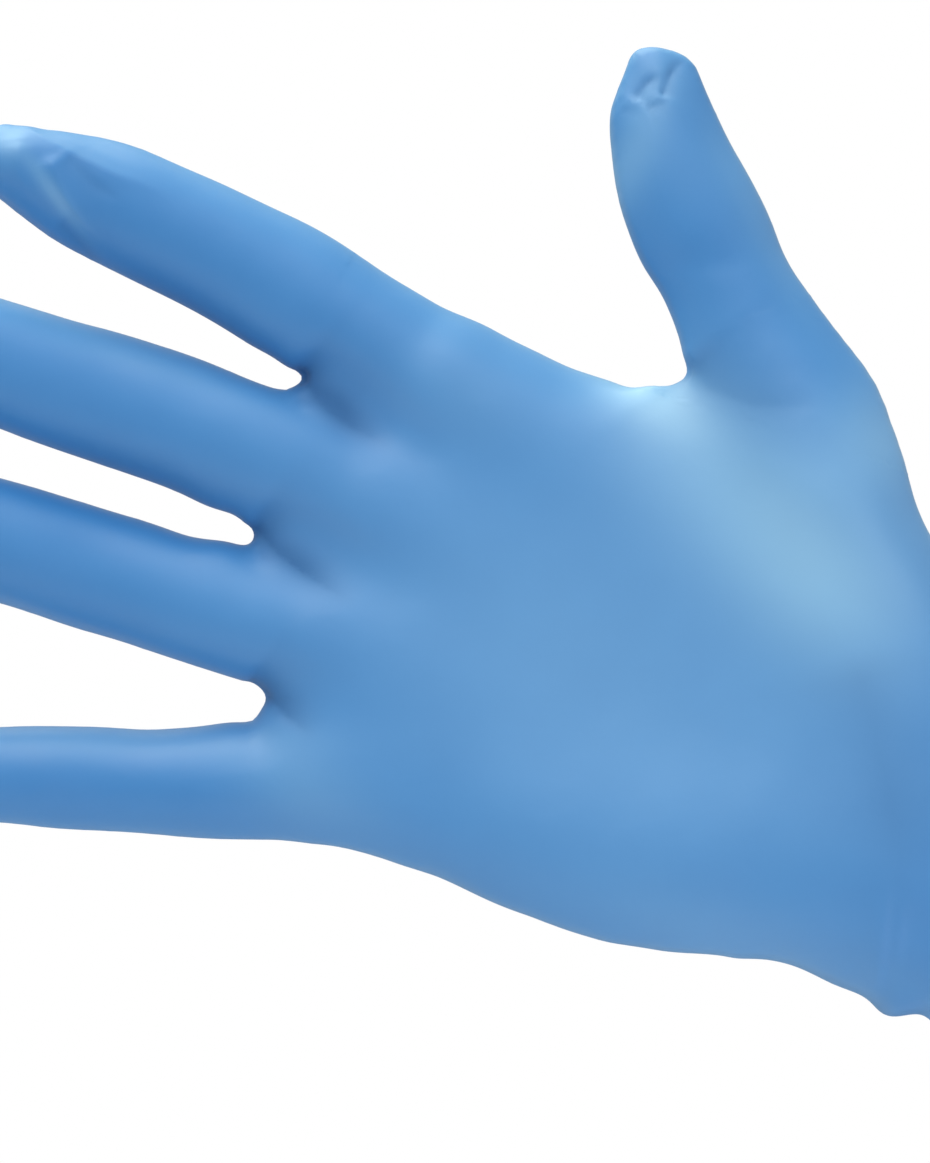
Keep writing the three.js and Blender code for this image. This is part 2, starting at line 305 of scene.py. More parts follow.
def first_mesh(field, low, high, step):
    """Surface nets: a point in each grid cell that the surface crosses, a quad on each edge it crosses."""
    counts = np.ceil((high - low) / step).astype(int) + 1
    axes = [low[i] + step * np.arange(counts[i]) for i in range(3)]
    value = np.empty(counts)
    for i, x in enumerate(axes[0]):
        slab = np.stack(np.meshgrid([x], axes[1], axes[2], indexing="ij"), -1)
        value[i] = field(slab.reshape(-1, 3)).reshape(counts[1:])
    total = np.zeros(tuple(counts - 1) + (3,))
    crossings = np.zeros(tuple(counts - 1))
    crossed_edges = []
    for axis in range(3):
        first = np.take(value, range(counts[axis] - 1), axis)
        second = np.take(value, range(1, counts[axis]), axis)
        crossed = (first < 0) != (second < 0)
        crossed_edges.append((crossed, first < 0))
        share = np.where(crossed, first / np.where(crossed, first - second, 1), 0)
        beside = [(axis + 1) % 3, (axis + 2) % 3]
        for u in (0, 1):
            for v in (0, 1):
                window = [slice(None)] * 3
                window[beside[0]] = slice(u, counts[beside[0]] - 1 + u)
                window[beside[1]] = slice(v, counts[beside[1]] - 1 + v)
                here = crossed[tuple(window)]
                crossings += here
                total[..., axis] += share[tuple(window)]
                total[..., beside[0]] += u * here
                total[..., beside[1]] += v * here
    used = crossings > 0
    number = np.full(used.shape, -1)
    number[used] = np.arange(used.sum())
    corner = np.stack(np.nonzero(used), -1)
    points = low + step * (corner + total[used] / crossings[used][:, None])
    quads = []
    for axis, (crossed, leaving) in enumerate(crossed_edges):
        beside = [(axis + 1) % 3, (axis + 2) % 3]
        at = np.stack(np.nonzero(crossed), -1)
        for b in beside:
            at = at[(at[:, b] > 0) & (at[:, b] < counts[b] - 1)]
        ring = []
        for back_u, back_v in ((1, 1), (0, 1), (0, 0), (1, 0)):
            cell = at.copy()
            cell[:, beside[0]] -= back_u
            cell[:, beside[1]] -= back_v
            ring.append(number[tuple(cell.T)])
        quad = np.stack(ring, -1)
        quads.append(np.where(leaving[tuple(at.T)][:, None], quad, quad[:, ::-1]))
    return points, np.concatenate(quads)


def edges_of(faces):
    """Each edge once, as a sorted pair of points, and the edge numbers of each quad."""
    pairs = np.stack([faces, np.roll(faces, -1, axis=1)], -1).reshape(-1, 2)
    pairs = np.sort(pairs, axis=1)
    code, where = np.unique(pairs[:, 0] * (faces.max() + 1) + pairs[:, 1], return_inverse=True)
    return np.stack([code // (faces.max() + 1), code % (faces.max() + 1)], -1), where.reshape(-1, 4)


def halve(points, faces):
    """Cuts each quad into four."""
    edges, of_face = edges_of(faces)
    n, e = len(points), len(edges)
    middle = n + e + np.arange(len(faces))
    out = [np.stack([faces[:, i], n + of_face[:, i], middle, n + of_face[:, i - 1]], -1) for i in range(4)]
    return np.concatenate([points, points[edges].mean(1), points[faces].mean(1)]), np.concatenate(out)


def averaged(edges, values):
    """For each point, the mean of its neighbours' values."""
    count = np.bincount(edges.ravel(), minlength=len(values))
    total = np.zeros_like(values)
    for a, b in ((0, 1), (1, 0)):
        for axis in range(values.shape[1]):
            total[:, axis] += np.bincount(edges[:, a], values[edges[:, b], axis], len(values))
    return total / np.maximum(count, 1)[:, None]


def even_out(points, faces, rounds, pinned=None):
    """Slides the points along the surface until they are evenly spread."""
    edges, _ = edges_of(faces)
    for _ in range(rounds):
        normal = point_normals(points, faces)
        pull = averaged(edges, points) - points
        pull -= normal * (pull * normal).sum(1)[:, None]
        if pinned is not None:
            pull[pinned] = 0
        points = points + SLIDE * pull
    return points


def faired(points, faces, rounds, share):
    """Smooths the surface, each point by its own share."""
    edges, _ = edges_of(faces)
    for _ in range(rounds):
        points = points + share[:, None] * (averaged(edges, points) - points)
    return points


def kept(faces, mask):
    """The points that the faces in the mask use, and those faces by the points' new numbers."""
    ids, local = np.unique(faces[mask], return_inverse=True)
    return ids, local.reshape(-1, 4)


def open_edges(faces):
    """Directed edges that only one quad has."""
    pairs = np.stack([faces, np.roll(faces, -1, axis=1)], -1).reshape(-1, 2)
    top = faces.max() + 1
    there = pairs[:, 0] * top + pairs[:, 1]
    back = pairs[:, 1] * top + pairs[:, 0]
    return pairs[~np.isin(there, back)]


# The film spans the hollows of the palm and back as a smooth skin: (X from, to) and the ease at each end
FAIR_SPAN = (-160.0, -40.0, 26.0)
FAIR_ROUNDS = 90
FAIR_PULL = 0.7
FAIR_FACING = (0.35, 0.4)  # how squarely to the palm or back a point faces where it starts, and the ease
SOFTEN_ROUNDS = 4  # after the mesh is divided
SOFTEN_PULL = 0.7


def fair_share(points, normal):
    low, high, ease = FAIR_SPAN
    along = smooth((points[:, 0] - low) / ease) * smooth((high - points[:, 0]) / ease)
    return FAIR_PULL * along * smooth((np.abs(normal[:, 1]) - FAIR_FACING[0]) / FAIR_FACING[1])


# The palm is flatter than a round section: the depth that it keeps to, and how much
PALM_DEPTH = 12.6
PALM_POWER = 0.72
PALM_ALONG = (-158.0, -52.0, 26.0)  # X from, to, and the ease at each end
PALM_ACROSS = (40.0, 16.0)  # Z where it ends, and the ease
# Small moves of the outline: middle (X, Z), radius, move (X, Z)
PUSHES = [
    # index stall
    ((-169.7, 42.8), 12.0, (-0.1, -1.25)),
    ((-197.0, 23.5), 12.0, (-0.25, 0.5)),
    ((-148.8, 41.4), 7.0, (0.2, -0.4)),
    ((-235.0, 39.5), 7.5, (0.5, -1.25)),
    ((-226.4, 41.5), 9.0, (0.2, -0.6)),
    ((-203.0, 44.5), 10.0, (0.1, -0.4)),
    ((-221.0, 24.0), 9.0, (0.3, -0.9)),
    ((-181.5, 25.0), 6.0, (0.0, -1.2)),
    ((-176.6, 24.2), 3.0, (-0.2, -0.9)),
    ((-175.2, 21.4), 1.6, (0.8, 0.3)),
    ((-229.0, 41.0), 4.0, (0.3, -0.6)),
    ((-230.9, 39.4), 1.8, (0.1, -0.35)),
    # middle, ring and little stalls
    ((-178.3, -3.0), 5.5, (0.1, -1.0)),
    ((-172.0, -2.6), 2.6, (-0.6, -0.8)),
    ((-174.0, -8.4), 4.5, (0.0, 0.9)),
    ((-160.8, -33.1), 4.5, (-0.3, 0.6)),
    ((-185.3, -62.2), 8.0, (-0.2, 0.45)),
    ((-137.0, -44.5), 9.0, (-0.2, 0.9)),
    ((-199.5, -31.4), 8.0, (-0.2, 0.4)),
    ((-172.8, -39.6), 6.0, (0.15, -0.35)),
    ((-158.0, -28.1), 1.6, (0.35, 0.15)),
    # thumb
    ((-146.8, 78.8), 5.5, (-0.5, -0.2)),
    ((-141.5, 96.0), 5.0, (0.0, -0.7)),
    ((-146.4, 94.4), 4.5, (0.4, -0.8)),
    ((-149.0, 86.5), 5.0, (1.2, 0.0)),
    ((-128.4, 84.7), 8.5, (-0.8, -0.8)),
    ((-112.6, 72.0), 6.0, (-0.6, -0.65)),
    ((-103.1, 67.0), 10.0, (-0.7, -1.1)),
    ((-120.6, 52.0), 7.0, (-1.6, -0.7)),
    ((-131.0, 61.0), 5.0, (-0.4, -0.1)),
    ((-125.0, 41.0), 7.5, (-0.6, 1.6)),
    ((-121.6, 46.6), 3.8, (0.5, -1.1)),
    ((-118.4, 49.2), 2.6, (-0.9, 0.2)),
    ((-124.0, 50.5), 3.4, (0.6, 0.3)),
    ((-148.6, 91.5), 4.2, (-0.95, 0.1)),
    ((-136.0, 90.9), 6.0, (-0.6, -0.25)),
    ((-85.5, 53.5), 6.0, (-0.7, -0.35)),
    ((-123.7, 44.4), 4.0, (0.2, -0.45)),
    ((-76.0, 46.0), 9.0, (-1.3, -1.1)),
    # heel and cuff
    ((-66.0, -32.5), 10.0, (-0.5, 1.6)),
    ((-81.0, -36.5), 10.0, (-0.1, 0.4)),
    ((-107.6, -41.0), 8.0, (-0.2, 0.4)),
    ((-46.4, -30.8), 3.2, (-0.1, -2.1)),
    ((-40.0, -30.0), 3.5, (-0.5, 1.1)),
]


def flattened(points):
    low, high, ease = PALM_ALONG
    share = smooth((points[:, 0] - low) / ease) * smooth((high - points[:, 0]) / ease)
    share *= smooth((PALM_ACROSS[0] - points[:, 2]) / PALM_ACROSS[1]) * (points[:, 1] < 0)
    flat = -PALM_DEPTH * (np.abs(points[:, 1]) / PALM_DEPTH) ** PALM_POWER
    points = points.copy()
    points[:, 1] += share * (flat - points[:, 1])
    return points


def pushed(points):
    out = points.copy()
    for (x, z), radius, (move_x, move_z) in PUSHES:
        away = ((points[:, 0] - x) ** 2 + (points[:, 2] - z) ** 2) / radius**2
        out[:, 0] += move_x * np.exp(-away)
        out[:, 2] += move_z * np.exp(-away)
    return out


def film_surface():
    """The whole film as one mesh: its points, its quads and the points of the cuff's edge."""
    low, high = np.array(GRID_LOW), np.array(GRID_HIGH)
    # a plane of the grid is at the cuff's end
    low[0] = CUFF_END - GRID * math.ceil((CUFF_END - low[0]) / GRID)
    points, faces = first_mesh(hand_field, low, high, GRID)
    points = settle(hand_field, points, point_normals(points, faces), 2)
    for _ in range(2):
        points = even_out(points, faces, 2)
        points = settle(hand_field, points, point_normals(points, faces), 1)
    points = faired(points, faces, FAIR_ROUNDS, fair_share(points, point_normals(points, faces)))
    ids, faces = kept(faces, points[faces].mean(1)[:, 0] < CUFF_END)
    points, faces = halve(points[ids], faces)
    edge = np.unique(open_edges(faces))
    points[edge, 0] = CUFF_END
    share = np.full(len(points), SOFTEN_PULL)
    share[edge] = 0
    points = faired(points, faces, SOFTEN_ROUNDS, share)
    points = pushed(flattened(points))
    points[edge, 0] = CUFF_END
    return points, faces, edge


points, faces, cuff_edge = film_surface()


# ---------------------------------------------------------------- where the film is divided
def stations(name):
    """Hinges of a finger and the way its lengths point."""
    joints = [hinge[f"{name}_{part}"] for part in ("base", "middle", "tip")]
    return joints, [unit(joints[1] - joints[0]), unit(joints[2] - joints[1])]


# How far beyond its root hinge a stall's film starts, bends from, bends to, and is divided again
ROOT_ZONES = {
    "index": (2.0, 2.6, 10.6, 11.4),
    "middle": (2.6, 3.2, 12.0, 12.8),
    "ring": (2.6, 3.2, 12.0, 12.8),
    "little": (-3.0, -2.2, 6.0, 7.2),
}
MIDDLE_ZONE = 6.0  # how far on each side of a stall's middle hinge the film bends
TIP_ZONE = 5.2
# For each thumb hinge: the way across the cut, and how far along it the film starts, bends from and bends to
THUMB_WAY = np.array([-0.12, 0.0, 0.993])
THUMB_ZONE = (-4.4, -3.9, 5.0)
THUMB_TIP_WAY = unit([-0.72, 0.0, 0.69])
THUMB_TIP_ZONE = (-8.0, -7.0, 7.0)
CUFF_ZONE = (-32.0, -64.0, -68.0)  # X where the cuff's film bends from, bends to, and ends
CLAIM_REACH = 4.0  # how far from a stall's form its film may lie
THUMB_CLAIM = 10.0  # how much further than that for the thumb, where it runs into the web
CUT_REACH = 1.0  # points this near to a cut are put on it


def bend(parent, child, at, way, start, end):
    """A length of film over one hinge: its bodies, the two ends of its bend and the nodes it replaces."""
    return (parent, child), (at + way * start, at + way * end), (f"{child}_fold", child)


def division():
    """The lengths of film by name, and the cuts between them: (name before, name after, point, way)."""
    bend_from, bend_to, end = ((x, 0, 0) for x in CUFF_ZONE)
    film = {
        "cuff_film": (("cuff", "hand"), (bend_from, bend_to), ("cuff_sleeve", "wrist_fold")),
        "hand_film": (("hand",), None, ("hand",)),
    }
    cuts = [("cuff_film", "hand_film", np.array(end), np.array([-1.0, 0, 0]))]
    for name in FINGERS:
        (base, middle, tip), (way, next_way) = stations(name)
        start, bend_from, bend_to, end = ROOT_ZONES[name]
        one, two, three = (f"{name}_{part}" for part in ("base", "middle", "tip"))
        film[one + "_film"] = bend("hand", one, base, way, bend_from, bend_to)
        film[two + "_film"] = bend(one, two, middle, way, -MIDDLE_ZONE, MIDDLE_ZONE)
        film[three + "_film"] = bend(two, three, tip, next_way, -TIP_ZONE, TIP_ZONE)
        cuts.append(("hand_film", one + "_film", base + way * start, way))
        cuts.append((one + "_film", two + "_film", base + way * end, way))
        cuts.append((two + "_film", three + "_film", (middle + tip) / 2, next_way))
    at = hinge["thumb_base"]
    start, bend_from, bend_to = THUMB_ZONE
    film["thumb_base_film"] = bend("hand", "thumb_base", at, THUMB_WAY, bend_from, bend_to)
    cuts.append(("hand_film", "thumb_base_film", at + THUMB_WAY * start, THUMB_WAY))
    at = hinge["thumb_tip"]
    start, bend_from, bend_to = THUMB_TIP_ZONE
    film["thumb_tip_film"] = bend("thumb_base", "thumb_tip", at, THUMB_TIP_WAY, bend_from, bend_to)
    cuts.append(("thumb_base_film", "thumb_tip_film", at + THUMB_TIP_WAY * start, THUMB_TIP_WAY))
    return film, cuts


def divided(points, faces):
    """Which length of film each quad is on, as its place in labels, and the points, moved onto the cuts."""
    points = points.copy()
    centres = points[faces].mean(1)
    label = np.full(len(faces), labels.index("hand_film"))
    label[centres[:, 0] > CUFF_ZONE[2]] = labels.index("cuff_film")
    away = {name: chain(centres, *finger_lines[name], STALL_FLATNESS) for name in FINGERS}
    away["thumb"] = chain(centres, *thumb_line, THUMB_FLATNESS) - THUMB_CLAIM
    nearest = np.argmin(np.stack(list(away.values())), 0)
    for before, after, at, way in cuts[1:]:
        owner = after.split("_")[0]
        close = (nearest == list(away).index(owner)) & (away[owner] < CLAIM_REACH)
        beyond = close & ((centres - at) @ way > 0) & (label == labels.index(before))
        label[beyond] = labels.index(after)
    seam = np.zeros(len(points), bool)
    seam[cuff_edge] = True
    for before, after, at, way in cuts:
        on_first = np.unique(faces[label == labels.index(before)])
        on_second = np.unique(faces[label == labels.index(after)])
        shared = np.intersect1d(on_first, on_second)
        shared = shared[np.abs((points[shared] - at) @ way) < CUT_REACH]
        points[shared] -= way * ((points[shared] - at) @ way)[:, None]
        seam[shared] = True
    return label, even_out(points, faces, 3, np.nonzero(seam)[0])


film, cuts = division()
labels = list(film)
label, points = divided(points, faces)


# ---------------------------------------------------------------- folds and unevenness
# For each kind of fold, the share of its route in which it fades in and out
FOLD_EASE = {
    "notch": (0.12, 0.5),
    "step": (0.12, 0.5),
    "gap": (0.12, 0.8),
    "valley": (0.45, 0.45),
    "ridge": (0.45, 0.45),
}
NOTCH_ROUND = 0.25  # mm, how round the bottom of a notch is


def beside_route(points, route):
    """Seen square to the palm: distance from the route, positive on its left, and the share of it passed."""
    flat = points[:, [0, 2]]
    route = np.array(route, float)
    lengths = np.linalg.norm(np.diff(route, axis=0), axis=1)
    best = np.full(len(flat), 1e3)
    side = np.ones(len(flat))
    share = np.zeros(len(flat))
    run = 0
    for a, b, length in zip(route[:-1], route[1:], lengths):
        way = (b - a) / length
        t = np.clip((flat - a) @ way, 0, length)
        off = flat - a - way * t[:, None]
        apart = np.hypot(off[:, 0], off[:, 1])
        closer = apart < best
        best[closer] = apart[closer]
        side[closer] = np.sign(way[0] * off[:, 1] - way[1] * off[:, 0])[closer]
        share[closer] = ((run + t) / lengths.sum())[closer]
        run += length
    return best * side, share


def fold_height(points, route, width, height, kind, ease=None):
    """Height of one fold. A notch or gap is sharp, and stands up as a crest if its height is below 0.

    A step is high on the left of its route. A pair of widths is for left and right.
    """
    d, share = beside_route(points, route)
    left, right = width if isinstance(width, tuple) else (width, width)
    width = np.where(d > 0, left, right)
    d = d / width
    ease_in, ease_out = ease or FOLD_EASE[kind]
    fade = smooth(share / ease_in) * smooth((1 - share) / ease_out)
    if kind == "step":
        return height * fade * d * np.exp(0.5 - 0.5 * d * d)
    if kind in ("notch", "gap"):
        return -height * fade * np.exp(-np.sqrt(d * d + (NOTCH_ROUND / width) ** 2))
    return height * fade * np.exp(-d * d) * (1 if kind == "ridge" else -1)


# Folds on the palm side: (route as X, Z), widths left and right of it, height, kind, and the painted shade
# darkening its depth
FOLDS = [
    # the slack end of the index stall
    (
        [(-232.0, 38.2), (-224.6, 37.5), (-213.4, 37.5), (-201.5, 38.7)],
        (1.3, 3.4), -0.85, "notch", 0.0,
    ),
    (
        [(-229.0, 41.6), (-219.0, 41.2), (-208.0, 41.0)],
        1.2, 0.22, "valley", 0.0,
    ),
    (
        [(-224.4, 35.6), (-219.8, 31.4), (-215.9, 28.8), (-210.0, 25.4)],
        (1.9, 1.1), -0.75, "notch", 0.0,
    ),
    (
        [(-229.2, 35.6), (-227.2, 31.2), (-222.8, 26.6)],
        (1.4, 1.0), -0.40, "notch", 0.0,
    ),
    (
        [(-222.0, 37.0), (-216.0, 34.6), (-209.0, 34.0)],
        (1.4, 1.8), 0.35, "notch", 0.35,
    ),
    (
        [(-219.0, 27.0), (-214.0, 24.6), (-209.0, 22.6)],
        (1.6, 1.2), 0.30, "notch", 0.35,
    ),
    # creases behind the gaps between the fingers
    (
        [(-177.0, 21.8), (-174.0, 20.8), (-171.0, 19.2), (-165.0, 17.6), (-155.0, 16.7)],
        (4.4, 1.1), 1.05, "gap", 0.74,
    ),
    (
        [(-174.6, 19.6), (-172.6, 18.2), (-170.4, 17.4)],
        (0.8, 0.5), 0.20, "notch", 0.2,
    ),
    (
        [(-173.0, -3.8), (-169.2, -4.6), (-165.6, -5.8), (-160.0, -6.8), (-150.0, -8.2)],
        (4.2, 1.1), 0.95, "gap", 0.78,
    ),
    (
        [(-170.0, -5.4), (-167.6, -7.0), (-165.0, -7.8)],
        (0.7, 0.5), 0.18, "notch", 0.2,
    ),
    (
        [(-162.6, -26.6), (-156.4, -27.6), (-150.5, -29.0), (-147.0, -30.0)],
        (3.6, 0.9), 0.8, "gap", 0.66,
    ),
    # the slack end of the thumb stall
    (
        [(-145.2, 82.6), (-144.7, 85.6), (-143.9, 86.9), (-141.6, 88.3)],
        (0.6, 1.3), 0.66, "notch", 0.50,
    ),
    (
        [(-141.2, 84.6), (-141.5, 88.0), (-141.3, 90.4), (-139.6, 93.0)],
        (0.6, 1.3), 0.72, "notch", 0.50,
    ),
    (
        [(-142.8, 82.0), (-141.6, 83.2), (-139.4, 85.2)],
        (0.6, 1.3), 0.34, "notch", 0.30,
    ),
    (
        [(-146.4, 80.2), (-144.6, 80.9), (-142.4, 80.6)],
        (0.7, 1.3), 0.16, "notch", 0.1,
    ),
    # creases of the thumb and the palm
    (
        [(-132.5, 60.0), (-126.0, 62.8), (-120.4, 66.0), (-115.0, 70.4)],
        (4.0, 2.6), 0.36, "valley", 0.0,
    ),
    (
        [(-142.0, 25.0), (-131.0, 20.0), (-116.0, 16.4), (-100.0, 12.0), (-70.0, 9.0)],
        6.0, 0.12, "valley", 0.0,
    ),
    # the web between the thumb and the hand
    (
        [(-121.2, 49.0), (-115.4, 46.4), (-108.0, 46.6), (-96.0, 52.0)],
        (7.0, 6.0), 0.70, "notch", 0.42,
    ),
    # the wrist
    (
        [(-58.6, -10.0), (-54.6, -20.0), (-49.0, -33.0)],
        (0.9, 2.2), 0.46, "ridge", 0.0,
    ),
    (
        [(-55.0, -11.5), (-52.2, -19.0), (-49.4, -26.0)],
        (0.8, 1.4), 0.26, "ridge", 0.0,
    ),
    (
        [(-64.0, -15.0), (-60.6, -22.0), (-55.0, -33.0)],
        3.6, 0.15, "valley", 0.0,
    ),
    (
        [(-57.0, 8.0), (-51.0, 6.0), (-44.0, 7.0)],
        2.2, 0.22, "step", 0.0,
    ),
    (
        [(-78.0, 19.0), (-66.0, 4.3), (-58.5, -6.3), (-51.0, -19.0)],
        (9.0, 9.0), 0.40, "valley", 0.30,
    ),
]
# Fine folds that spread from the bottom of each gap: (middle X, Z), way to the palm in degrees, spread, count
FANS = [
    ((-174.4, 20.4), -40, 50, 3),
    ((-170.8, -4.8), -34, 50, 4),
    ((-158.4, -27.8), -12, 80, 5),
]
FAN_REACH = (1.6, 6.0)  # where they start, and how far they go
FAN_LENGTHS = (0.6, 1.1)  # least and most share of that reach
FAN_JITTER = 4  # degrees
FAN_HEIGHTS = (0.08, 0.18)
FAN_WIDTH = 0.55
FAN_EASE = (0.3, 0.6)
# Round swellings of the palm side: (X, Z), radius, height
SWELLINGS = [((-236.0, 38.6), 3.6, 0.6), ((-145.0, 91.4), 3.0, 0.35), ((-84.0, 34.0), 16.0, 0.6)]
# Uneven film everywhere: (wavelength, height)
UNEVEN = [(74.0, 0.26), (41.0, 0.16), (23.0, 0.07), (12.0, 0.025)]
UNEVEN_WAVES = 6  # of each wavelength, each its own way
KNUCKLE = (8.5, 0.9)  # radius and height of the swelling on the back over a knuckle
JOINT = (5.5, 0.35)  # and over a finger's two outer joints
PALM_SIDE = (0.3, 0.6)  # how far to the back a point faces where the palm side's folds end, and the ease
BACK_SIDE = (0.1, 0.5)  # where the back's swellings start, and the ease
CUFF_WAVES = [(3, 0.9), (5, 0.8), (7, 0.5), (11, 0.28), (16, 0.12)]  # (waves round the cuff, height)
CUFF_SLACK = (-74.0, -16.0)  # X where the cuff's waves begin and where they are full
CUFF_LEAN = 0.02  # most that a wave's phase turns along the cuff, radians for each mm


def uneven(points, rng):
    out = np.zeros(len(points))
    for wavelength, height in UNEVEN:
        for _ in range(UNEVEN_WAVES):
            way = unit(rng.normal(size=3)) * 2 * math.pi / (wavelength * rng.uniform(0.8, 1.25))
            out += height / math.sqrt(UNEVEN_WAVES) * np.sin(points @ way + rng.uniform(0, 2 * math.pi))
    return out


def cuff_waves(points, rng):
    turn = np.arctan2(points[:, 1], points[:, 2])
    slack = smooth((points[:, 0] - CUFF_SLACK[0]) / (CUFF_SLACK[1] - CUFF_SLACK[0]))
    out = np.zeros(len(points))
    for waves, height in CUFF_WAVES:
        lean = rng.uniform(-CUFF_LEAN, CUFF_LEAN)
        out += height * np.sin(waves * turn + rng.uniform(0, 2 * math.pi) + lean * points[:, 0])
    return out * slack


def palm_side(normal):
    """1 where the film faces the palm's way, fading to 0 where it faces the back's."""
    return smooth((PALM_SIDE[0] - normal[:, 1]) / PALM_SIDE[1])


def swelling(points, x, z, radius, height):
    away = np.hypot(points[:, 0] - x, points[:, 2] - z) / radius
    return height * np.exp(-away * away)


def folds_at(points, normal):
    """Height of the folds and swellings of the palm side, and the painted shade of each point in a fold, 0 to
    1.
    """
    rng = np.random.default_rng(20)
    out = np.zeros(len(points))
    fold_shade = np.zeros(len(points))
    for route, width, height, kind, shade_amount in FOLDS:
        out += fold_height(points, route, width, height, kind)
        # painted shade: the fold's depth is darkened by its shade amount
        if shade_amount:
            fold_shade -= fold_height(points, route, width, shade_amount, "notch")
    for (x, z), heading, spread, count in FANS:
        for i in range(count):
            jitter = rng.uniform(-FAN_JITTER, FAN_JITTER)
            turn = math.radians(heading + spread * ((i + 0.5) / count - 0.5) + jitter)
            far_end = FAN_REACH[1] * rng.uniform(*FAN_LENGTHS)
            way = np.array([math.cos(turn), math.sin(turn)])
            route = [np.array([x, z]) + way * r for r in (FAN_REACH[0], far_end)]
            out += fold_height(points, route, FAN_WIDTH, rng.uniform(*FAN_HEIGHTS), "valley", FAN_EASE)
    for (x, z), radius, height in SWELLINGS:
        out += swelling(points, x, z, radius, height)
    return out * palm_side(normal), np.clip(fold_shade, 0, 1) * palm_side(normal)


def knuckles_at(points, normal):
    """Height of the swellings of the back."""
    out = np.zeros(len(points))
    for name, spec in FINGERS.items():
        x, _, z = spec["knuckle"]
        out += swelling(points, x, z, *KNUCKLE)
        for part in ("middle", "tip"):
            x, _, z = hinge[f"{name}_{part}"]
            out += swelling(points, x, z, *JOINT)
    return out * smooth((normal[:, 1] - BACK_SIDE[0]) / BACK_SIDE[1])


rest = points.copy()
normal = point_normals(rest, faces)
made_folds, deep = folds_at(rest, normal)
height = made_folds + knuckles_at(rest, normal) + uneven(rest, np.random.default_rng(4))
height += cuff_waves(rest, np.random.default_rng(9))
points = rest + normal * height[:, None]
points[cuff_edge, 0] = CUFF_END
skin_normal = point_normals(points, faces)

# Paler where the film is stretched thin, with painted highlight over it on the thenar, web, palm, heel, thumb
# and the stalls' upper sides: middle (X, Z), half sizes, lean in degrees, amount
PALE_AND_HIGHLIGHT = [
    ((-101, 33.0), (28, 12), -16, 0.60),
    ((-122, 42), (9, 5), -10, 0.60),
    ((-84, 26), (15, 12), -16, 0.36),
    ((-144, 89), (7, 6), 0, 0.08),
    ((-133.6, 77), (8, 8), 0, 0.10),
    ((-220.6, 30.5), (7.5, 1.3), -29, 0.40),
    ((-230.5, 34.5), (3.2, 2.4), -50, 0.30),
    ((-112, 0), (54, 34), 0, 0.30),
    ((-88, 50), (9, 9), 30, 0.48),
    ((-76, -32), (26, 8), 4, 0.16),
    ((-79, 44), (14, 4.5), -47, 0.12),
    ((-147, -37), (12, 7), 0, 0.22),
    ((-150, 30), (12, 8), 0, 0.12),
    ((-141.5, 75), (4, 15), 0, 0.33),
    ((-120, 75), (18, 4), -40, 0.22),
    ((-204, 13.6), (26, 3.4), 6, 0.22),
    ((-178, -44), (26, 3.2), 25, 0.26),
]
# Painted shade, as darker spots: behind the gaps, along the stalls' sides, on the thumb's base and near the
# wrist
SHADE_SPOTS = [
    ((-167.6, 19.8), (6.5, 3.0), -16, 0.52),
    ((-163.0, -5.2), (6.0, 2.8), -10, 0.26),
    ((-155.4, -25.8), (4.5, 2.4), -10, 0.25),
    ((-119.6, 64.1), (9.0, 6.5), -65, 0.10),
    ((-60.5, 0.5), (9.0, 12.0), 0, 0.12),
    ((-195.7, 23.6), (18, 3.0), -2.5, 0.34),
    ((-190.2, -3.2), (18, 2.8), 6.6, 0.30),
]


def spots(spec):
    """How much of a spot each point of the palm side has."""
    out = np.zeros(len(rest))
    for (x, z), (long_, short), lean, amount in spec:
        lean = math.radians(lean)
        u = (rest[:, 0] - x) * math.cos(lean) + (rest[:, 2] - z) * math.sin(lean)
        v = -(rest[:, 0] - x) * math.sin(lean) + (rest[:, 2] - z) * math.cos(lean)
        out += amount * np.exp(-((u / long_) ** 2) - (v / short) ** 2)
    return out * palm_side(normal)


# pale: paler stretched film and painted highlight
pale = np.clip(spots(PALE_AND_HIGHLIGHT), 0, 1)
# painted shade: the folds' shade with the shade spots added
deep = np.clip(deep + spots(SHADE_SPOTS), 0, 1)


# ---------------------------------------------------------------- materials
BLUE_LIGHT = (0.038, 0.251, 0.602)
BLUE_DEEP = (0.026, 0.213, 0.546)
# pale stretched film colour, also used as painted highlight
BLUE_PALE_HIGHLIGHT = (0.430, 0.760, 0.960)
# painted shade colour for folds, creases and the stalls' lower sides
BLUE_SHADE = (0.006, 0.085, 0.260)
# How far the colour goes to the darker mottle blue at a speckle, to pale where stretched and where highlight
# is painted, and to the painted shade colour where shade is painted
SPECKLE_SHARE = 0.12
PALE_HIGHLIGHT_SHARE = 0.60
SHADE_SHARE = 0.66
# Roughness, and what the mottling, the speckle and the folds add to it
ROUGHNESS = 0.42
MOTTLE_ROUGHNESS = 0.10
SPECKLE_ROUGHNESS = 0.06
FOLD_ROUGHNESS = 0.35
# Patterns: scale for each mm, detail, roughness
MOTTLE = (0.055, 3.0, 0.55)
SPECKLE = (1.6, 2.0, 0.5)
GRAIN = (2.6, 3.0, 0.5)
RIPPLE = (0.22, 2.0, 0.5)
# Bumps: strength, and height in metres
GRAIN_BUMP = (0.12, 0.00004)
RIPPLE_BUMP = (0.25, 0.00025)
IOR = 1.5
SHINE = 0.95
SHEEN = 0.13
SHEEN_ROUGHNESS = 0.4
SHEEN_TINT = (0.90, 1.0, 0.70, 1)


def node_tree(name):
    material = bpy.data.materials.new(name)
    material.use_nodes = True
    tree = material.node_tree
    return material, tree, tree.nodes["Principled BSDF"]


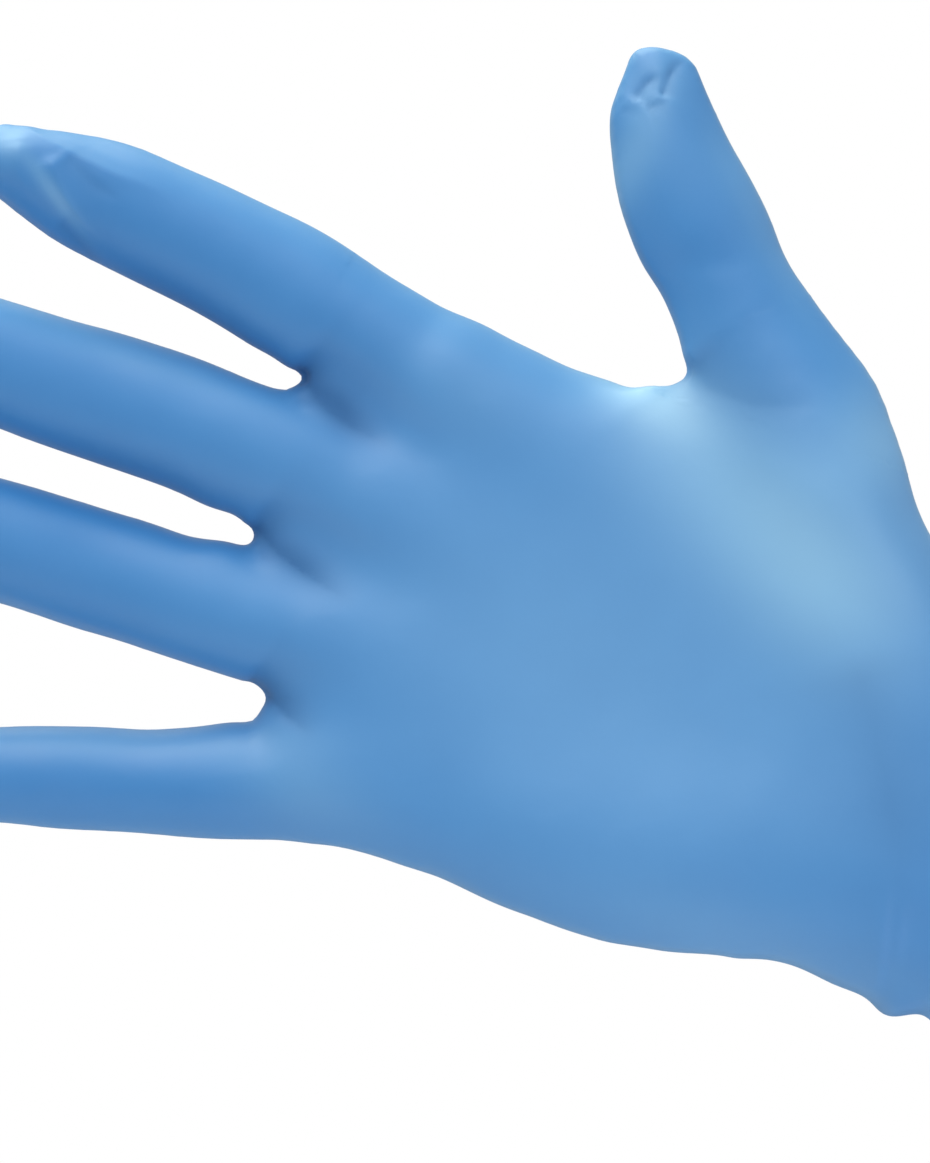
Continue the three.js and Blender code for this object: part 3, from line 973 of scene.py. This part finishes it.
def nitrile(name):
    """Blue nitrile film: soft satin gloss, faint mottling, paler where stretched with painted highlight, and
    painted shade in folds and creases.
    """
    material, tree, shader = node_tree(name)
    nodes, link = tree.nodes, tree.links.new
    place = nodes.new("ShaderNodeAttribute")
    place.attribute_name = "rest_mm"

    def noise(pattern):
        n = nodes.new("ShaderNodeTexNoise")
        for socket, value in zip(("Scale", "Detail", "Roughness"), pattern):
            n.inputs[socket].default_value = value
        link(place.outputs["Vector"], n.inputs["Vector"])
        return n.outputs["Fac"]

    def mixed(fac, first, second):
        m = nodes.new("ShaderNodeMix")
        m.data_type = "RGBA"
        link(fac, m.inputs["Factor"])
        for socket, value in ((m.inputs["A"], first), (m.inputs["B"], second)):
            if isinstance(value, tuple):
                socket.default_value = (*value, 1)
            else:
                link(value, socket)
        return m.outputs["Result"]

    def maths(kind, first, second):
        m = nodes.new("ShaderNodeMath")
        m.operation = kind
        for socket, value in zip(m.inputs, (first, second)):
            if isinstance(value, (int, float)):
                socket.default_value = value
            else:
                link(value, socket)
        return m.outputs["Value"]

    def attribute(title):
        a = nodes.new("ShaderNodeAttribute")
        a.attribute_name = title
        return a.outputs["Fac"]

    def bump(pattern, spec):
        b = nodes.new("ShaderNodeBump")
        b.inputs["Strength"].default_value, b.inputs["Distance"].default_value = spec
        link(noise(pattern), b.inputs["Height"])
        return b

    mottle, speckle = noise(MOTTLE), noise(SPECKLE)
    colour = mixed(mottle, BLUE_DEEP, BLUE_LIGHT)
    colour = mixed(maths("MULTIPLY", speckle, SPECKLE_SHARE), colour, BLUE_DEEP)
    # pale stretched film and painted highlight
    colour = mixed(maths("MULTIPLY", attribute("pale"), PALE_HIGHLIGHT_SHARE), colour, BLUE_PALE_HIGHLIGHT)
    # painted shade in folds and shaded places, and the roll's darker colour
    colour = mixed(maths("MULTIPLY", attribute("deep"), SHADE_SHARE), colour, BLUE_SHADE)
    link(colour, shader.inputs["Base Color"])
    rough = maths("ADD", maths("MULTIPLY", mottle, MOTTLE_ROUGHNESS), ROUGHNESS)
    rough = maths("ADD", rough, maths("MULTIPLY", speckle, SPECKLE_ROUGHNESS))
    rough = maths("ADD", rough, maths("MULTIPLY", attribute("deep"), FOLD_ROUGHNESS))
    link(rough, shader.inputs["Roughness"])
    grain, ripple = bump(GRAIN, GRAIN_BUMP), bump(RIPPLE, RIPPLE_BUMP)
    link(grain.outputs["Normal"], ripple.inputs["Normal"])
    link(ripple.outputs["Normal"], shader.inputs["Normal"])
    shader.inputs["IOR"].default_value = IOR
    shader.inputs["Specular IOR Level"].default_value = SHINE
    shader.inputs["Sheen Weight"].default_value = SHEEN
    shader.inputs["Sheen Tint"].default_value = SHEEN_TINT
    shader.inputs["Sheen Roughness"].default_value = SHEEN_ROUGHNESS
    return material


film_material = nitrile("nitrile_film")


# ---------------------------------------------------------------- pieces
def mesh_object(name, vertices, quads, material, normals, values):
    """A mesh object from points in millimetres, its quads, and values for each point."""
    mesh = bpy.data.meshes.new(name)
    mesh.vertices.add(len(vertices))
    mesh.vertices.foreach_set("co", (np.asarray(vertices) * MM).astype(np.float32).ravel())
    mesh.loops.add(quads.size)
    mesh.loops.foreach_set("vertex_index", quads.astype(np.int32).ravel())
    mesh.polygons.add(len(quads))
    mesh.polygons.foreach_set("loop_start", np.arange(0, quads.size, 4, dtype=np.int32))
    mesh.polygons.foreach_set("loop_total", np.full(len(quads), 4, np.int32))
    mesh.polygons.foreach_set("use_smooth", np.ones(len(quads), bool))
    mesh.update(calc_edges=True)
    for title, kind, value in values:
        attribute = mesh.attributes.new(title, kind, "POINT")
        field_name = "vector" if kind == "FLOAT_VECTOR" else "value"
        attribute.data.foreach_set(field_name, np.asarray(value, np.float32).ravel())
    if normals is not None:
        mesh.normals_split_custom_set_from_vertices(normals)
    mesh.materials.append(material)
    piece = bpy.data.objects.new(name, mesh)
    bpy.context.scene.collection.objects.link(piece)
    return piece


def film_piece(name):
    """One length of the film as a closed thin shell: outside, inside and the walls at its open edges."""
    ids, quads = kept(faces, label == labels.index(name))
    count = len(ids)
    outer, way = points[ids], skin_normal[ids]
    rim = open_edges(quads)
    walls = np.stack([rim[:, 1], rim[:, 0], rim[:, 0] + count, rim[:, 1] + count], -1)
    both = np.concatenate([quads, quads[:, ::-1] + count, walls])
    vertices = np.concatenate([outer, outer - way * FILM])
    values = [
        ("rest_mm", "FLOAT_VECTOR", np.concatenate([rest[ids], rest[ids]])),
        # pale holds paler stretched film and painted highlight
        ("pale", "FLOAT", np.concatenate([pale[ids], pale[ids]])),
        # painted shade in folds and shaded places
        ("deep", "FLOAT", np.concatenate([deep[ids], deep[ids]])),
    ]
    piece = mesh_object(name, vertices, both, film_material, np.concatenate([way, -way]), values)
    bodies, zone, nodes = film[name]
    if zone is None:
        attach(piece, bodies[0])
    else:
        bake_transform(piece)
    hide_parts(*nodes)


BEAD_RADIUS = 0.82
BEAD_LIP = 0.16  # how much the roll grows in its one turn
BEAD_SIDES = 20
BEAD_TURN = 1.9  # radians, where in its turn the roll's lip is
BEAD_AHEAD = 0.25  # how far beyond the film's edge the roll's middle is
BEAD_EASE_ROUNDS = 6
BEAD_DEPTH = 0.3  # how deep its colour is


def bead_piece():
    """The rolled edge: a small roll of film all round the end of the cuff."""
    follows = {a: b for a, b in open_edges(faces)}
    order = [cuff_edge[0]]
    while len(order) < len(cuff_edge):
        order.append(follows[order[-1]])
    line = points[order]
    for _ in range(BEAD_EASE_ROUNDS):
        line = (np.roll(line, 1, 0) + line + np.roll(line, -1, 0)) / 3
    ahead = np.roll(line, -1, 0) - np.roll(line, 1, 0)
    out = np.cross(ahead, [1.0, 0, 0])
    out /= np.linalg.norm(out, axis=1)[:, None]
    if ((line - line.mean(0)) * out).sum() < 0:
        out = -out
    turn = np.arange(BEAD_SIDES) / BEAD_SIDES
    radius = BEAD_RADIUS + BEAD_LIP * turn
    around = 2 * math.pi * turn - BEAD_TURN
    rings = line[:, None] + out[:, None] * (radius * np.sin(around))[None, :, None]
    rings = rings + np.array([1.0, 0, 0]) * (radius * np.cos(around) + BEAD_AHEAD)[None, :, None]
    number = np.arange(len(line) * BEAD_SIDES).reshape(-1, BEAD_SIDES)
    next_ring = np.roll(number, -1, 0)
    ring = [number, next_ring, np.roll(next_ring, -1, 1), np.roll(number, -1, 1)]
    quads = np.stack(ring, -1).reshape(-1, 4)
    vertices = rings.reshape(-1, 3)
    middle = np.repeat(line, BEAD_SIDES, 0)
    facing = point_normals(vertices, quads)
    if ((vertices - middle) * facing).sum() < 0:
        quads = quads[:, ::-1]
    values = [
        ("rest_mm", "FLOAT_VECTOR", vertices),
        ("pale", "FLOAT", np.zeros(len(vertices))),
        ("deep", "FLOAT", np.full(len(vertices), BEAD_DEPTH)),
    ]
    piece = mesh_object("cuff_bead_film", vertices, quads, film_material, None, values)
    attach(piece, "cuff")
    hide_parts("cuff_bead")


for name in labels:
    film_piece(name)
bead_piece()


# ---------------------------------------------------------------- camera, light and floor
VIEW_MIDDLE = np.array([-136.9, 0.0, 2.8])
VIEW_DISTANCE = 620.0
LENS = 120
SENSOR = 36
ROLL = math.radians(25)
RIGHT = np.array([math.cos(ROLL), 0, math.sin(ROLL)])
UP = np.array([-math.sin(ROLL), 0, math.cos(ROLL)])
NEARER = np.array([0, -1.0, 0])


def make_camera():
    data = bpy.data.cameras.new("camera")
    data.lens = LENS
    data.sensor_width = SENSOR
    data.clip_start = 0.01
    data.clip_end = 20
    camera = bpy.data.objects.new("camera", data)
    place = Vector((VIEW_MIDDLE + NEARER * VIEW_DISTANCE) * MM)
    camera.matrix_world = Matrix.Translation(place) @ Matrix((RIGHT, UP, NEARER)).transposed().to_4x4()
    bpy.context.scene.collection.objects.link(camera)
    bpy.context.scene.camera = camera


def soft_light(name, way, distance, size, watts, colour=(1.0, 1.0, 1.0)):
    """A square light facing the middle of the view, from that many mm away; its size is in metres."""
    data = bpy.data.lights.new(name, "AREA")
    data.shape = "SQUARE"
    data.size = size
    data.energy = watts
    data.color = colour
    light = bpy.data.objects.new(name, data)
    place = Vector((VIEW_MIDDLE + unit(way) * distance) * MM)
    aim = Vector(VIEW_MIDDLE * MM) - place
    light.matrix_world = Matrix.Translation(place) @ aim.to_track_quat("-Z", "Y").to_matrix().to_4x4()
    bpy.context.scene.collection.objects.link(light)


def white_room(below, above):
    """Soft light from all round, stronger from the top of the view, and white behind the object."""
    world = bpy.data.worlds.new("room")
    bpy.context.scene.world = world
    world.use_nodes = True
    nodes, link = world.node_tree.nodes, world.node_tree.links.new
    nodes.clear()
    out = nodes.new("ShaderNodeOutputWorld")
    path = nodes.new("ShaderNodeLightPath")
    mix = nodes.new("ShaderNodeMixShader")
    room = nodes.new("ShaderNodeBackground")
    seen = nodes.new("ShaderNodeBackground")
    way = nodes.new("ShaderNodeTexCoord")
    height = nodes.new("ShaderNodeVectorMath")
    height.operation = "DOT_PRODUCT"
    height.inputs[1].default_value = tuple(UP)
    ramp = nodes.new("ShaderNodeMapRange")
    ramp.inputs["From Min"].default_value = -0.8
    ramp.inputs["From Max"].default_value = 0.4
    ramp.inputs["To Min"].default_value = below
    ramp.inputs["To Max"].default_value = above
    link(way.outputs["Generated"], height.inputs[0])
    link(height.outputs["Value"], ramp.inputs["Value"])
    link(ramp.outputs["Result"], room.inputs["Strength"])
    room.inputs["Color"].default_value = (0.97, 0.985, 1.0, 1)
    seen.inputs["Color"].default_value = (1, 1, 1, 1)
    link(path.outputs["Is Camera Ray"], mix.inputs["Fac"])
    link(room.outputs["Background"], mix.inputs[1])
    link(seen.outputs["Background"], mix.inputs[2])
    link(mix.outputs["Shader"], out.inputs["Surface"])


def make_floor(fold_shade, radius):
    """A round pale floor, well below the glove."""
    sides = 96
    turn = 2 * math.pi * np.arange(sides) / sides
    across = VIEW_MIDDLE[0] + radius * np.cos(turn)
    ring = np.stack([across, radius * np.sin(turn), np.full(sides, fold_shade)], -1)
    mesh = bpy.data.meshes.new("floor")
    mesh.from_pydata([tuple(p * MM) for p in ring], [], [tuple(range(sides))])
    material, _, shader = node_tree("floor")
    shader.inputs["Base Color"].default_value = (0.68, 0.70, 0.74, 1)
    shader.inputs["Roughness"].default_value = 0.8
    mesh.materials.append(material)
    floor = bpy.data.objects.new("floor", mesh)
    bpy.context.scene.collection.objects.link(floor)


make_camera()
white_room(below=0.07, above=0.56)
soft_light("key", UP * 1.0 - RIGHT * 0.35 + NEARER * 0.65, 900, 0.9, 5.0)
soft_light("fill", UP * -0.45 + RIGHT * 0.8 + NEARER * 0.9, 1000, 0.8, 3.0, (0.80, 0.90, 1.0))
soft_light("under", UP * -0.8 + RIGHT * 0.6 + NEARER * 0.3, 450, 0.4, 0.3, (0.75, 0.85, 1.0))
soft_light("top", UP * 1.0 - RIGHT * 0.3 - NEARER * 0.2, 800, 0.8, 6.0, (1.0, 1.0, 0.72))
make_floor(fold_shade=-400.0, radius=620.0)
bpy.context.scene.view_settings.view_transform = "Standard"
